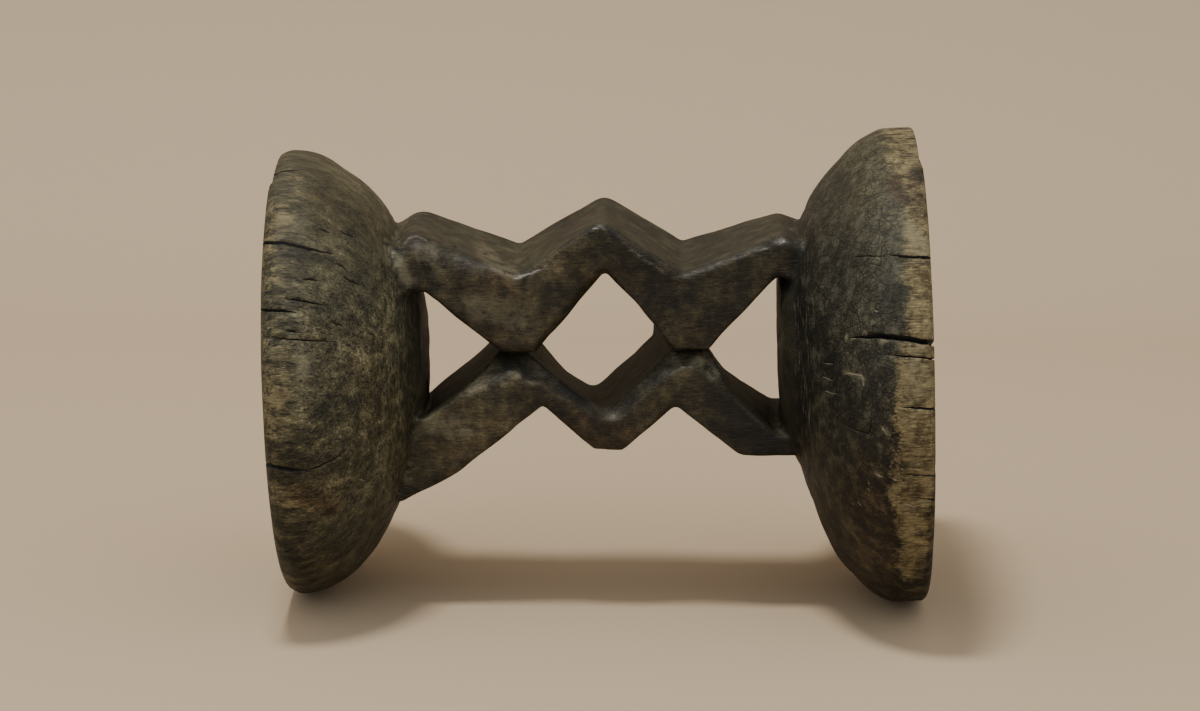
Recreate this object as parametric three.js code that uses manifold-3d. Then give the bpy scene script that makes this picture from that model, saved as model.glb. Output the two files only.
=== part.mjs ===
// A round seat carried by two zigzag legs on a round base, all carved from one block of wood.
// Millimetres, +Z up, standing on the base. The origin is the middle of the base's underside.
// X runs across the flat of the zigzag, so the legs' broad carved faces look along Y.
import * as THREE from 'three';
import { mergeVertices } from 'three/addons/utils/BufferGeometryUtils.js';
import Module from 'manifold-3d';

const wasm = await Module();
wasm.setup();

// Driving dimensions of the whole stool
const HEIGHT = 340;
const BASE_RADIUS = 126.5;
const SEAT_RADIUS = 118;
const CORE_SHIFT = 12;            // the middle of the block was carved off the centre of the base
const SEAT_SHIFT = 4;             // and the seat's rim lies a little off it too

// Base: a flat underside, an upright worn rim and a domed top
const BASE_EDGE = 2.5;            // the worn lower edge
const BASE_RIM_HEIGHT = 17;
const BASE_DOME_CENTRE = 7.6;     // height of the ellipse's centre
const BASE_DOME_RISE = 66;        // from there to where the ellipse would close
const BASE_SHOULDER_RADIUS = 62;  // the dome ends at this ridge, and the crown begins
const BASE_CROWN_RADIUS = 38;     // the level crown between the legs
const BASE_CROWN_HEIGHT = 76.5;

// Seat: a dished top, a rounded rim and a domed underside
const SEAT_DISH_DEPTH = 6;
const SEAT_FLAT_RADIUS = 46;      // the level middle of the dish
const SEAT_LIP_ROUND = 9;         // radius of the rounded rim
const SEAT_DOME_CENTRE = 332;
const SEAT_DOME_DROP = 69;        // from there to where the ellipse would close
const SEAT_SHOULDER_RADIUS = 50;
const SEAT_CROWN_RADIUS = 26;
const SEAT_CROWN_HEIGHT = 261.7;

// Legs: two planks as deep as this along Y, their long edges worn round
const LEG_DEPTH = 76;
const EDGE_WEAR = 4.5;            // how far the wear reaches in from each long edge

// How fine the faces are
const ROUND_STEPS = 52;           // faces around a disc
const DOME_STEPS = 12;            // rings on a dome
const CROWN_STEPS = 3;            // rings from a dome's shoulder to its crown
const DISH_STEPS = 4;             // rings down into the seat's dish
const LIP_STEPS = 6;              // rings on the seat's rounded rim
const CORNER_STEPS = 4;           // faces on each worn corner of a leg
const WEAR_STEPS = 2;             // faces across a worn edge

const wood = (name, colour) => new THREE.MeshStandardMaterial({
  name, color: colour, roughness: 0.62, metalness: 0,
});

// 0 below from, 1 above to, and an easy curve between them
const ease = (value, from, to) => THREE.MathUtils.smoothstep(value, from, to);

// The discs' middles don't stand on one line: this is the X of the middle at each height.
const DOME_START_BASE = 40;
const DOME_START_SEAT = 312;
const middleAt = (z) => CORE_SHIFT * ease(z, DOME_START_BASE, BASE_CROWN_HEIGHT)
  - (CORE_SHIFT - SEAT_SHIFT) * ease(z, SEAT_CROWN_HEIGHT, DOME_START_SEAT);

// A dome's profile as (distance from axis, height): along an ellipse from the rim to the
// shoulder, then up the short slope to the level crown, and in to the axis.
function domeProfile({ radius, rimRadius, centre, rise, shoulder, crownRadius, crownHeight }) {
  const start = Math.acos(rimRadius / radius);
  const end = Math.acos(shoulder / radius);
  const points = [];
  for (let i = 0; i <= DOME_STEPS; i += 1) {
    const angle = start + (end - start) * (i / DOME_STEPS);
    points.push(new THREE.Vector2(radius * Math.cos(angle), centre + rise * Math.sin(angle)));
  }
  const shoulderHeight = points[DOME_STEPS].y;
  for (let i = 1; i <= CROWN_STEPS; i += 1) {
    const up = Math.sin((Math.PI / 2) * (i / CROWN_STEPS));
    points.push(new THREE.Vector2(
      THREE.MathUtils.lerp(shoulder, crownRadius, i / CROWN_STEPS),
      THREE.MathUtils.lerp(shoulderHeight, crownHeight, up),
    ));
  }
  points.push(new THREE.Vector2(0, crownHeight));
  return points;
}

function baseProfile() {
  const rimAngle = Math.asin((BASE_RIM_HEIGHT - BASE_DOME_CENTRE) / BASE_DOME_RISE);
  const dome = domeProfile({
    radius: BASE_RADIUS / Math.cos(rimAngle),
    rimRadius: BASE_RADIUS,
    centre: BASE_DOME_CENTRE,
    rise: BASE_DOME_RISE,
    shoulder: BASE_SHOULDER_RADIUS,
    crownRadius: BASE_CROWN_RADIUS,
    crownHeight: BASE_CROWN_HEIGHT,
  });
  return [
    new THREE.Vector2(0, 0),
    new THREE.Vector2(BASE_RADIUS - BASE_EDGE, 0),
    new THREE.Vector2(BASE_RADIUS, BASE_EDGE),
    ...dome,
  ];
}

// The seat's profile runs from the crown of its underside out to the rim and in over the dish.
function seatProfile() {
  const underside = domeProfile({
    radius: SEAT_RADIUS,
    rimRadius: SEAT_RADIUS,
    centre: SEAT_DOME_CENTRE,
    rise: -SEAT_DOME_DROP,
    shoulder: SEAT_SHOULDER_RADIUS,
    crownRadius: SEAT_CROWN_RADIUS,
    crownHeight: SEAT_CROWN_HEIGHT,
  }).reverse();
  const lipX = SEAT_RADIUS - SEAT_LIP_ROUND;
  const lipZ = HEIGHT - SEAT_LIP_ROUND;
  const points = underside.filter((p) => p.y < lipZ);
  for (let i = 0; i <= LIP_STEPS; i += 1) {
    const angle = (Math.PI / 2) * (i / LIP_STEPS);
    points.push(new THREE.Vector2(
      lipX + SEAT_LIP_ROUND * Math.cos(angle),
      lipZ + SEAT_LIP_ROUND * Math.sin(angle),
    ));
  }
  for (let i = 1; i <= DISH_STEPS; i += 1) {
    const inward = i / DISH_STEPS;
    points.push(new THREE.Vector2(
      THREE.MathUtils.lerp(lipX, SEAT_FLAT_RADIUS, inward),
      HEIGHT - SEAT_DISH_DEPTH * ease(inward, 0, 1),
    ));
  }
  points.push(new THREE.Vector2(0, HEIGHT - SEAT_DISH_DEPTH));
  return points;
}

// Spins a profile about the upright axis and leans it along the block's own middle line.
function discGeometry(profile) {
  const geometry = new THREE.LatheGeometry(profile, ROUND_STEPS);
  geometry.rotateX(Math.PI / 2);
  return moved(geometry, (p) => p.setX(p.x + middleAt(p.z)));
}

// Moves every vertex of a geometry by a function.
function moved(geometry, change) {
  const position = geometry.getAttribute('position');
  const point = new THREE.Vector3();
  for (let i = 0; i < position.count; i += 1) {
    point.fromBufferAttribute(position, i);
    change(point);
    position.setXYZ(i, point.x, point.y, point.z);
  }
  return geometry;
}

// Levels of the zigzag's turns, from the seat down to the base
const IN_SEAT = 296;
const SEAT_CREST = 264;
const SEAT_CONTACT = 213;
const MIDDLE = 168;
const BASE_CONTACT = 122;
const BASE_CREST = 73;
const IN_BASE = 42;

// A turn's place and how far its corner is worn round
const turn = (z, x, round) => ({ z, x, round });

// Each outline runs down the leg's right side, seen from the front, and back up its left side.
const rightLeg = [
  turn(IN_SEAT, 66, 0),
  turn(SEAT_CREST + 2, 84.5, 14),
  turn(SEAT_CONTACT, 63, 5),
  turn(MIDDLE - 2, 89.5, 10),
  turn(BASE_CONTACT + 2, 62, 4),
  turn(BASE_CREST, 78.5, 8),
  turn(IN_BASE, 66, 0),
  turn(IN_BASE, 50, 0),
  turn(BASE_CREST + 3, 57, 4),
  turn(BASE_CONTACT - 11, 18, 7),
  turn(BASE_CONTACT + 8, 18, 7),
  turn(MIDDLE - 2, 62, 4),
  turn(SEAT_CONTACT, 14.5, 13),
  turn(SEAT_CREST - 3, 54, 5),
  turn(IN_SEAT, 50, 0),
];

const leftLeg = [
  turn(IN_SEAT, -20, 0),
  turn(SEAT_CREST + 2, -20, 0),
  turn(SEAT_CONTACT + 7, 20, 6),
  turn(SEAT_CONTACT - 2, 20, 6),
  turn(MIDDLE + 20, -5, 15),
  turn(MIDDLE + 2, -17.5, 7),
  turn(BASE_CONTACT + 11, 20, 6),
  turn(BASE_CONTACT + 1, 20, 6),
  turn(BASE_CREST + 22, -17, 20),
  turn(BASE_CREST + 6, -28, 8),
  turn(IN_BASE, -28, 0),
  turn(IN_BASE, -42, 0),
  turn(BASE_CREST + 24, -38.5, 9),
  turn(BASE_CONTACT + 9, -9.5, 6),
  turn(MIDDLE - 5, -34.5, 8),
  turn(MIDDLE + 9, -34.5, 8),
  turn(SEAT_CONTACT - 12, -9.5, 6),
  turn(SEAT_CONTACT + 33, -45, 30),
  turn(SEAT_CREST - 1, -54, 8),
  turn(SEAT_CREST + 12, -59, 0),
  turn(IN_SEAT, -61, 0),
];

// Draws an outline in the XZ plane with each turn worn round.
function wornOutline(turns) {
  const corners = turns.map(({ x, z }) => new THREE.Vector2(x, z));
  const shape = new THREE.Shape();
  corners.forEach((corner, i) => {
    const before = corners[(i + corners.length - 1) % corners.length].clone().sub(corner);
    const after = corners[(i + 1) % corners.length].clone().sub(corner);
    const reach = turns[i].round / Math.tan(before.angleTo(after) / 2);
    const entry = before.clone().setLength(Math.min(reach, before.length() / 2)).add(corner);
    const exit = after.clone().setLength(Math.min(reach, after.length() / 2)).add(corner);
    if (i === 0) shape.moveTo(entry.x, entry.y);
    else shape.lineTo(entry.x, entry.y);
    if (turns[i].round > 0) shape.quadraticCurveTo(corner.x, corner.y, exit.x, exit.y);
  });
  shape.closePath();
  return shape;
}

// A leg is its outline run through along Y, with its long edges worn.
function legGeometry(turns) {
  const geometry = new THREE.ExtrudeGeometry(wornOutline(turns), {
    depth: LEG_DEPTH - 2 * EDGE_WEAR,
    curveSegments: CORNER_STEPS,
    bevelThickness: EDGE_WEAR,
    bevelSize: EDGE_WEAR,
    bevelOffset: -EDGE_WEAR,
    bevelSegments: WEAR_STEPS,
  });
  geometry.translate(0, 0, EDGE_WEAR - LEG_DEPTH / 2);
  return geometry.rotateX(Math.PI / 2);
}

// The left leg's middle turn was cut askew: it climbs from the front of the plank to its back.
const SKEW = 11;                  // over the leg's whole depth
const SKEW_REACH = 45;            // how far up and down the leg it fades out

function skewMiddleTurn(p) {
  const near = 1 - ease(Math.abs(p.z - MIDDLE), 0, SKEW_REACH);
  p.z += SKEW * (p.y / LEG_DEPTH) * near;
}

const SAME_POINT = 1e-4;           // vertices closer than this are one

// Turns a closed geometry into a solid that can be joined.
function solid(geometry) {
  geometry.deleteAttribute('normal');
  geometry.deleteAttribute('uv');
  const merged = mergeVertices(geometry, SAME_POINT);
  const index = Array.from(merged.index.array);
  const faces = [];
  for (let i = 0; i < index.length; i += 3) {
    const [a, b, c] = index.slice(i, i + 3);
    if (a !== b && b !== c && c !== a) faces.push(a, b, c);
  }
  return new wasm.Manifold(new wasm.Mesh({
    numProp: 3,
    vertProperties: new Float32Array(merged.getAttribute('position').array),
    triVerts: new Uint32Array(faces),
  }));
}

function geometryOf(manifold) {
  const { vertProperties, triVerts } = manifold.getMesh();
  const geometry = new THREE.BufferGeometry();
  geometry.setAttribute('position', new THREE.BufferAttribute(vertProperties, 3));
  geometry.setIndex(new THREE.BufferAttribute(triVerts, 1));
  return geometry;
}

function stoolGeometry() {
  const base = solid(discGeometry(baseProfile()));
  const seat = solid(discGeometry(seatProfile()));
  const right = solid(legGeometry(rightLeg));
  const left = solid(moved(legGeometry(leftLeg), skewMiddleTurn));
  return geometryOf(base.add(right).add(left).add(seat));
}

const tongaStool = new THREE.Group();
const stool = new THREE.Mesh(stoolGeometry(), wood('dark carved wood', 0x4b4132));
stool.name = 'stool';
tongaStool.add(stool);

export default tongaStool;
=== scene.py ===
"""A worn stool carved from one block of dark wood, seen lying on its side as it was photographed.

The stool itself stands upright in the frame, +Z up. Shapes are worked out in millimetres and
turned into metres at the end. X runs across the flat of the two zigzag legs, and the camera is
on the -Y side, rolled so that the seat (+Z) is at the picture's left.
"""
import itertools
import math
import random

import bmesh
import bpy
import numpy as np
import openvdb
from mathutils import Matrix, Vector
from mathutils.bvhtree import BVHTree


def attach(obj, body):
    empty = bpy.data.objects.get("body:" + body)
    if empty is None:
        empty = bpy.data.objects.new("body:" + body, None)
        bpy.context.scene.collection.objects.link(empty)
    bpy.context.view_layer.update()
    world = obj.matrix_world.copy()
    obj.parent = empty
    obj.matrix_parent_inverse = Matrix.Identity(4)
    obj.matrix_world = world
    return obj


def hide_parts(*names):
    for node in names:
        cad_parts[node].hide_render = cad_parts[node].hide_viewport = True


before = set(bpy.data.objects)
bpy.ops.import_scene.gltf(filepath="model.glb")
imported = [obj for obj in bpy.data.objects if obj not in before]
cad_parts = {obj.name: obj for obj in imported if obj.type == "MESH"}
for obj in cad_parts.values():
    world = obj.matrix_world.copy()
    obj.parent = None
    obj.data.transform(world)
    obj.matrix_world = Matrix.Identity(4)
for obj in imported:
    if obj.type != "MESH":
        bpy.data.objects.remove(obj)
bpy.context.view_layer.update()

MM = 0.001

# Driving dimensions, in millimetres
HEIGHT = 340.0
BASE_RADIUS = 126.5
SEAT_RADIUS = 118.0
CORE_SHIFT = 12.0
SEAT_SHIFT = 4.0
BASE_EDGE = 2.5
BASE_RIM_HEIGHT = 17.0
BASE_DOME_CENTRE = 7.6
BASE_DOME_RISE = 66.0
BASE_SHOULDER_RADIUS = 62.0
BASE_CROWN_RADIUS = 38.0
BASE_CROWN_HEIGHT = 75.3
SEAT_DISH_DEPTH = 6.0
SEAT_FLAT_RADIUS = 46.0
SEAT_LIP_ROUND = 9.0
SEAT_SPARE = 1.3  # more radius at the seat's rim, which its relief takes off again
SEAT_SPARE_FROM = 104.0  # radius where it starts
SEAT_DOME_CENTRE = 332.0
SEAT_DOME_DROP = 69.0
SEAT_SHOULDER_RADIUS = 50.0
SEAT_CROWN_RADIUS = 26.0
SEAT_CROWN_HEIGHT = 263.0
DOME_START_BASE = 40.0
DOME_START_SEAT = 312.0
LEG_DEPTH = 76.0
DOME_STEPS = 40
CROWN_STEPS = 8
ARC_STEPS = 12

# Levels of the zigzag's turns
IN_SEAT = 296.0
SEAT_CREST = 264.0
SEAT_CONTACT = 213.0
MIDDLE = 168.0
BASE_CONTACT = 122.0
BASE_CREST = 73.0
IN_BASE = 42.0

# The outline of each leg, down one side and back up the other. The planks were cut by eye, so the
# outline on the front differs a little from the one on the back. Each turn is its height, its X and
# how far its corner is worn round.
RIGHT_LEG_FRONT = (
    (IN_SEAT, 66, 0), (SEAT_CREST + 2, 84.5, 14), (SEAT_CONTACT, 61.5, 5), (MIDDLE - 1, 89.5, 8),
    (BASE_CONTACT + 3, 60.5, 4), (BASE_CREST, 79, 8), (IN_BASE, 66, 0),
    (IN_BASE, 50, 0), (BASE_CREST + 3, 57, 4), (BASE_CONTACT - 10, 19, 2), (BASE_CONTACT + 9, 19, 3),
    (MIDDLE - 19, 42.8, 4), (MIDDLE - 2, 60.5, 2), (SEAT_CONTACT - 10, 19.5, 3),
    (SEAT_CONTACT + 8, 19.5, 5), (SEAT_CREST - 3, 54, 5), (IN_SEAT, 50, 0),
)
RIGHT_LEG_BACK = (
    (IN_SEAT, 66, 0), (SEAT_CREST + 2, 84.5, 14), (SEAT_CONTACT, 64.5, 5), (MIDDLE - 2, 89.5, 10),
    (BASE_CONTACT + 3, 64, 3), (BASE_CREST, 78.5, 8), (IN_BASE, 66, 0),
    (IN_BASE, 50, 0), (BASE_CREST + 3, 57, 4), (BASE_CONTACT - 11, 18, 7), (BASE_CONTACT + 8, 18, 7),
    (MIDDLE - 17, 43.5, 10), (MIDDLE - 2, 62, 4), (SEAT_CONTACT - 8, 17.5, 6),
    (SEAT_CONTACT + 6, 17.5, 6), (SEAT_CREST - 3, 54, 5), (IN_SEAT, 50, 0),
)
LEFT_LEG_FRONT = (
    (IN_SEAT, -14, 0), (SEAT_CREST - 1, -14, 6), (SEAT_CONTACT + 30, -0.5, 10), (SEAT_CONTACT + 9, 19.5, 5),
    (SEAT_CONTACT - 3, 19.5, 6), (MIDDLE + 19, 1, 15), (MIDDLE - 2, -13.5, 7), (BASE_CONTACT + 11, 17, 4),
    (BASE_CONTACT + 9, 19.5, 3), (BASE_CONTACT - 10, 19.5, 3), (BASE_CONTACT - 22, -4, 8),
    (BASE_CREST + 17, -16, 12), (BASE_CREST + 5, -28, 8), (IN_BASE, -28, 0),
    (IN_BASE, -40.7, 0), (BASE_CREST + 25, -39.1, 9), (BASE_CONTACT + 8.5, -12, 2.5), (MIDDLE - 9, -34.5, 4),
    (MIDDLE + 6, -34, 5), (SEAT_CONTACT - 12.5, -8.5, 2.5), (SEAT_CONTACT + 32, -43.5, 20),
    (SEAT_CREST, -53, 2), (SEAT_CREST + 12, -59, 0), (IN_SEAT, -61, 0),
)
LEFT_LEG_BACK = (
    (IN_SEAT, -17.5, 0), (SEAT_CREST + 1, -17.5, 3), (SEAT_CONTACT + 30, 0.5, 4), (SEAT_CONTACT + 7, 20, 6),
    (SEAT_CONTACT - 2, 20, 6), (MIDDLE + 22, -7.5, 8), (MIDDLE + 7, -17.5, 7), (BASE_CONTACT + 21, 11.5, 1),
    (BASE_CONTACT + 20, 20, 1), (BASE_CONTACT + 1, 20, 6), (BASE_CONTACT - 18, -8, 12),
    (BASE_CREST + 22, -14.5, 16), (BASE_CREST + 6, -25, 6), (IN_BASE, -25, 0),
    (IN_BASE, -42, 0), (BASE_CREST + 24, -38.5, 9), (BASE_CONTACT + 9.5, -9.5, 6), (MIDDLE, -34.5, 8),
    (MIDDLE + 14, -34.5, 8), (SEAT_CONTACT - 11, -9.5, 6), (SEAT_CONTACT + 33, -45, 30),
    (SEAT_CREST - 1, -54, 8), (SEAT_CREST + 12, -59, 0), (IN_SEAT, -61, 0),
)
# Along the front edges the wood was trimmed to a bevel or is worn round: (height, size) pairs
RIGHT_OUTER_BEVEL = ((60, 3), (118, 3.4), (128, 2.2), (168, 2), (211, 2.4), (221, 0), (280, 0))
RIGHT_INNER_BEVEL = (
    (60, 1.5), (108, 0.8), (134, 0.8), (150, 1.5), (170, 4.5), (200, 5), (208, 2), (280, 1.5),
)
RIGHT_OUTER_ROUND = ((60, 1.2), (213, 1.2), (232, 9), (244, 12), (280, 12))
RIGHT_INNER_ROUND = ((60, 1.5), (200, 1.5), (209, 5), (219, 5), (228, 1.5), (280, 1.5))
LEFT_INNER_BEVEL = (
    (60, 1), (106, 1), (113, 8), (118, 10), (130, 10), (139, 7.5), (150, 6.5), (186, 6.5),
    (200, 8.5), (208, 12), (221, 12), (231, 7), (245, 1.5), (280, 1),
)
PLAIN_EDGE = ((60, 1.2), (280, 1.2))

# A leg: its two outlines, how many turns its first side has, and the bevel and the round of each side
RIGHT_LEG = (RIGHT_LEG_FRONT, RIGHT_LEG_BACK, 7,
             (RIGHT_OUTER_BEVEL, RIGHT_INNER_BEVEL), (RIGHT_OUTER_ROUND, RIGHT_INNER_ROUND))
LEFT_LEG = (LEFT_LEG_FRONT, LEFT_LEG_BACK, 14, (LEFT_INNER_BEVEL, PLAIN_EDGE), (PLAIN_EDGE, PLAIN_EDGE))
BACK_BEVEL = 1.2
BACK_ROUND = 2.6
LOFT_STEPS = 9

# The camera, fitted to the photograph
PHOTO_WIDTH = 1200
PHOTO_HEIGHT = 711
PIXELS_PER_MM = 1.87
CAMERA_DISTANCE = 2000.0
CAMERA_AZIMUTH = 13.0
CAMERA_ELEVATION = -1.25
CAMERA_ROLL = 1.37  # on top of the quarter turn that lays the stool on its side
CAMERA_AIM = Vector((9.0, 0.0, 170.5))
SENSOR_WIDTH = 36.0


# Easing, noise and other arithmetic on whole arrays

def ease(value, low, high):
    """0 below low, 1 above high, and an easy curve between them."""
    t = np.clip((value - low) / (high - low), 0.0, 1.0)
    return t * t * (3.0 - 2.0 * t)


def fade(value, low, high):
    return 1 - ease(value, low, high)


ALL_BITS = 0xFFFFFFFF
SCRAMBLE = 0x45D9F3B
SEED_PRIME = 2654435761
PLACE_PRIMES = (73856093, 19349663, 83492791)
FAR = 1e9
TINY = 1e-9


def lattice(ix, iy, iz, seed):
    """A repeatable random number from 0 to 1 for each corner of a lattice."""
    h = seed * SEED_PRIME
    for step, prime in zip((ix, iy, iz), PLACE_PRIMES):
        h = h ^ (step.astype(np.int64) * prime)
    h = h & ALL_BITS
    for _ in range(2):
        h = ((h ^ (h >> 16)) * SCRAMBLE) & ALL_BITS
    return ((h ^ (h >> 16)) / float(ALL_BITS)).astype(np.float32)


def in_cells(places, size):
    """Places measured in cells, and the low corner of each one's cell. size is one number or three."""
    sizes = size if isinstance(size, tuple) else (size, size, size)
    scaled = [place / length for place, length in zip(places, sizes)]
    return scaled, [np.floor(place) for place in scaled]


def noise(x, y, z, size, seed):
    """Smooth noise from -1 to 1. size is the width of its lumps."""
    scaled, corner = in_cells((x, y, z), size)
    within = [place - low for place, low in zip(scaled, corner)]
    wx, wy, wz = (f * f * (3.0 - 2.0 * f) for f in within)
    total = 0.0
    for dx, dy, dz in itertools.product((0, 1), repeat=3):
        weight = (wx if dx else 1 - wx) * (wy if dy else 1 - wy) * (wz if dz else 1 - wz)
        total = total + weight * lattice(corner[0] + dx, corner[1] + dy, corner[2] + dz, seed)
    return total * 2.0 - 1.0


def scoops(x, y, z, size, seed):
    """The hollows left by a blade: 0 at the bottom of each cut, rising to about 1 at the ridges."""
    scaled, corner = in_cells((x, y, z), size)
    nearest = 1.0
    for shift in itertools.product((-1, 0, 1), repeat=3):
        cell = [low + step for low, step in zip(corner, shift)]
        middle = [low + lattice(*cell, seed + axis) for axis, low in enumerate(cell)]
        far = sum((place - at) ** 2 for place, at in zip(scaled, middle))
        nearest = np.minimum(nearest, far)
    return nearest


def at_place(table, place):
    """Reads a table of rows that start with a place and its value."""
    return np.interp(place, [row[0] for row in table], [row[1] for row in table])


# Outlines and profiles

def middle_at(z):
    """X of the middle of the block at each height."""
    return (CORE_SHIFT * ease(z, DOME_START_BASE, BASE_CROWN_HEIGHT)
            - (CORE_SHIFT - SEAT_SHIFT) * ease(z, SEAT_CROWN_HEIGHT - 6, DOME_START_SEAT - 4))


def quarter_turn(steps):
    """Cosines and sines from 0 to 90 degrees."""
    return [(math.cos(math.pi / 2 * i / steps), math.sin(math.pi / 2 * i / steps)) for i in range(steps + 1)]


def dome(radius, rim_radius, centre, rise, shoulder, crown_radius, crown_height):
    """(distance from the axis, height) from the rim over the dome to the axis."""
    angles = np.linspace(math.acos(rim_radius / radius), math.acos(shoulder / radius), DOME_STEPS)
    points = [(radius * math.cos(a), centre + rise * math.sin(a)) for a in angles]
    shoulder_height = points[-1][1]
    for i, (_, up) in enumerate(quarter_turn(CROWN_STEPS)[1:], 1):
        points.append((shoulder + (crown_radius - shoulder) * i / CROWN_STEPS,
                       shoulder_height + (crown_height - shoulder_height) * up))
    return [*points, (0.0, crown_height)]


def base_profile():
    rim_angle = math.asin((BASE_RIM_HEIGHT - BASE_DOME_CENTRE) / BASE_DOME_RISE)
    over = dome(BASE_RADIUS / math.cos(rim_angle), BASE_RADIUS, BASE_DOME_CENTRE, BASE_DOME_RISE,
                BASE_SHOULDER_RADIUS, BASE_CROWN_RADIUS, BASE_CROWN_HEIGHT)
    return [(0.0, 0.0), (BASE_RADIUS - BASE_EDGE, 0.0), (BASE_RADIUS, BASE_EDGE), *over]


def seat_profile():
    lip_x = SEAT_RADIUS + SEAT_SPARE - SEAT_LIP_ROUND
    lip_z = HEIGHT - SEAT_LIP_ROUND
    under = dome(SEAT_RADIUS, SEAT_RADIUS, SEAT_DOME_CENTRE, -SEAT_DOME_DROP,
                 SEAT_SHOULDER_RADIUS, SEAT_CROWN_RADIUS, SEAT_CROWN_HEIGHT)
    points = [(r + SEAT_SPARE * float(ease(r, SEAT_SPARE_FROM, SEAT_RADIUS)), z)
              for r, z in reversed(under) if z < lip_z]
    points += [(lip_x + SEAT_LIP_ROUND * out, lip_z + SEAT_LIP_ROUND * up)
               for out, up in quarter_turn(ARC_STEPS)]
    for i in range(1, ARC_STEPS + 1):
        inward = i / ARC_STEPS
        points.append((lip_x + (SEAT_FLAT_RADIUS - lip_x) * inward,
                       HEIGHT - SEAT_DISH_DEPTH * float(ease(inward, 0, 1))))
    return [*points, (0.0, HEIGHT - SEAT_DISH_DEPTH)]


def worn_outline(turns, steps=6):
    """The leg's outline as (X, height) points, with each turn worn round."""
    corners = [Vector((x, z)) for z, x, _ in turns]
    points = []
    for i, corner in enumerate(corners):
        before = corners[i - 1] - corner
        after = corners[(i + 1) % len(corners)] - corner
        reach = turns[i][2] / math.tan(before.angle(after) / 2)
        entry = corner + before.normalized() * min(reach, before.length / 2)
        leave = corner + after.normalized() * min(reach, after.length / 2)
        if turns[i][2] == 0:
            points.append(tuple(corner))
            continue
        for k in range(steps + 1):
            t = k / steps
            points.append(tuple(entry * (1 - t) ** 2 + corner * 2 * t * (1 - t) + leave * t ** 2))
    return points


def outline_distance(us, vs, points, on_axis=False):
    """Signed distance from each (u, v) to a closed outline, below 0 inside it."""
    u, v = np.meshgrid(us, vs, indexing="ij")
    nearest = np.full(u.shape, FAR, np.float32)
    inside = np.zeros(u.shape, bool)
    for (ax, az), (bx, bz) in zip(points, points[1:] + points[:1]):
        ex, ez = bx - ax, bz - az
        length = ex * ex + ez * ez
        if length < TINY:
            continue
        inside ^= ((az > v) != (bz > v)) & (u < ex * (v - az) / (ez if ez else TINY) + ax)
        if on_axis and max(ax, bx) < TINY:
            continue  # an edge on the axis is no surface
        t = np.clip(((u - ax) * ex + (v - az) * ez) / length, 0, 1)
        nearest = np.minimum(nearest, (u - ax - t * ex) ** 2 + (v - az - t * ez) ** 2)
    return np.where(inside, -1.0, 1.0).astype(np.float32) * np.sqrt(nearest)


# The stool as one field of distances, on a grid of small cubes

VOXEL = 1.15
MARGIN = 5.0
BAND = 3.2  # surface relief is only worked out this near the surface
XS = YS = np.arange(-BASE_RADIUS - MARGIN, BASE_RADIUS + MARGIN, VOXEL, dtype=np.float32)
ZS = np.arange(-MARGIN, HEIGHT + MARGIN, VOXEL, dtype=np.float32)
ROOT_FILLET = 2.5  # the legs run into the discs with a small hollow
LEG_FILLET = 1.5
SIDE_BLEND = 5.0  # half the width where one side's bevel gives way to the other's
RIDGE_WEAR = 0.8
RADIUS_STEP = 0.5  # between the radii at which a turned form is worked out
BEVEL_LUMPS = 22.0  # the bevels' width changes over this length, by the part below
BEVEL_CHANGE = 0.3
SEAT_SPLIT = 2.4
BASE_SPLIT = 1.7


def disc_field(profile):
    """Distance to a turned form whose middle leans with the block."""
    radii = np.arange(0.0, BASE_RADIUS + 3 * MARGIN, RADIUS_STEP, dtype=np.float32)
    table = outline_distance(radii, ZS, profile, on_axis=True)
    field = np.empty((len(XS), len(YS), len(ZS)), np.float32)
    for k, z in enumerate(ZS):
        r = np.hypot(XS[:, None] - float(middle_at(z)), YS[None, :])
        field[:, :, k] = np.interp(r, radii, table[:, k])
    return field


def outline_between(front, back, part):
    """The outline part of the way from the front one to the back one."""
    return tuple(tuple(f + (g - f) * part for f, g in zip(*pair)) for pair in zip(front, back))


def side_line(turns, z):
    """X of one side of a leg at each height."""
    return at_place(turns if turns[0][0] < turns[-1][0] else turns[::-1], z)


def leg_field(leg):
    """Distance to a plank that is bevelled and worn along its front edges."""
    front, back, split, bevels, rounds = leg
    steps = LOFT_STEPS - 1
    slices = [outline_distance(XS, ZS, worn_outline(outline_between(front, back, i / steps)))
              for i in range(LOFT_STEPS)]
    middle = (side_line(front[:split], ZS) + side_line(front[split:], ZS)) / 2
    first_side = 1 if front[0][1] > front[-1][1] else -1
    first = ease((XS[:, None] - middle[None, :]) * first_side, -SIDE_BLEND, SIDE_BLEND)
    bevel, rounded = (first * at_place(one, ZS) + (1 - first) * at_place(other, ZS)
                      for one, other in (bevels, rounds))
    field = np.empty((len(XS), len(YS), len(ZS)), np.float32)
    for j, y in enumerate(YS):
        at = min(max(y / LEG_DEPTH + 0.5, 0.0), 0.9999) * steps
        low = int(at)
        flat = slices[low] * (1 - (at - low)) + slices[low + 1] * (at - low)
        across = abs(y) - LEG_DEPTH / 2
        radius = rounded if y < 0 else BACK_ROUND
        uneven = 1 + BEVEL_CHANGE * noise(XS[:, None], y, ZS[None, :], BEVEL_LUMPS, 91)
        cut = (bevel if y < 0 else BACK_BEVEL) * uneven
        a, b = flat + radius, across + radius
        body = np.minimum(np.maximum(a, b), 0) + np.hypot(np.maximum(a, 0), np.maximum(b, 0)) - radius
        field[:, j, :] = smooth_cut(body, (flat + across + cut) / math.sqrt(2), RIDGE_WEAR)
    return field


def smooth_cut(a, b, reach):
    """What is inside both, with a slightly worn ridge."""
    blend = np.maximum(reach - np.abs(a - b), 0) / reach
    return np.maximum(a, b) + blend * blend * reach * 0.25


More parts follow.
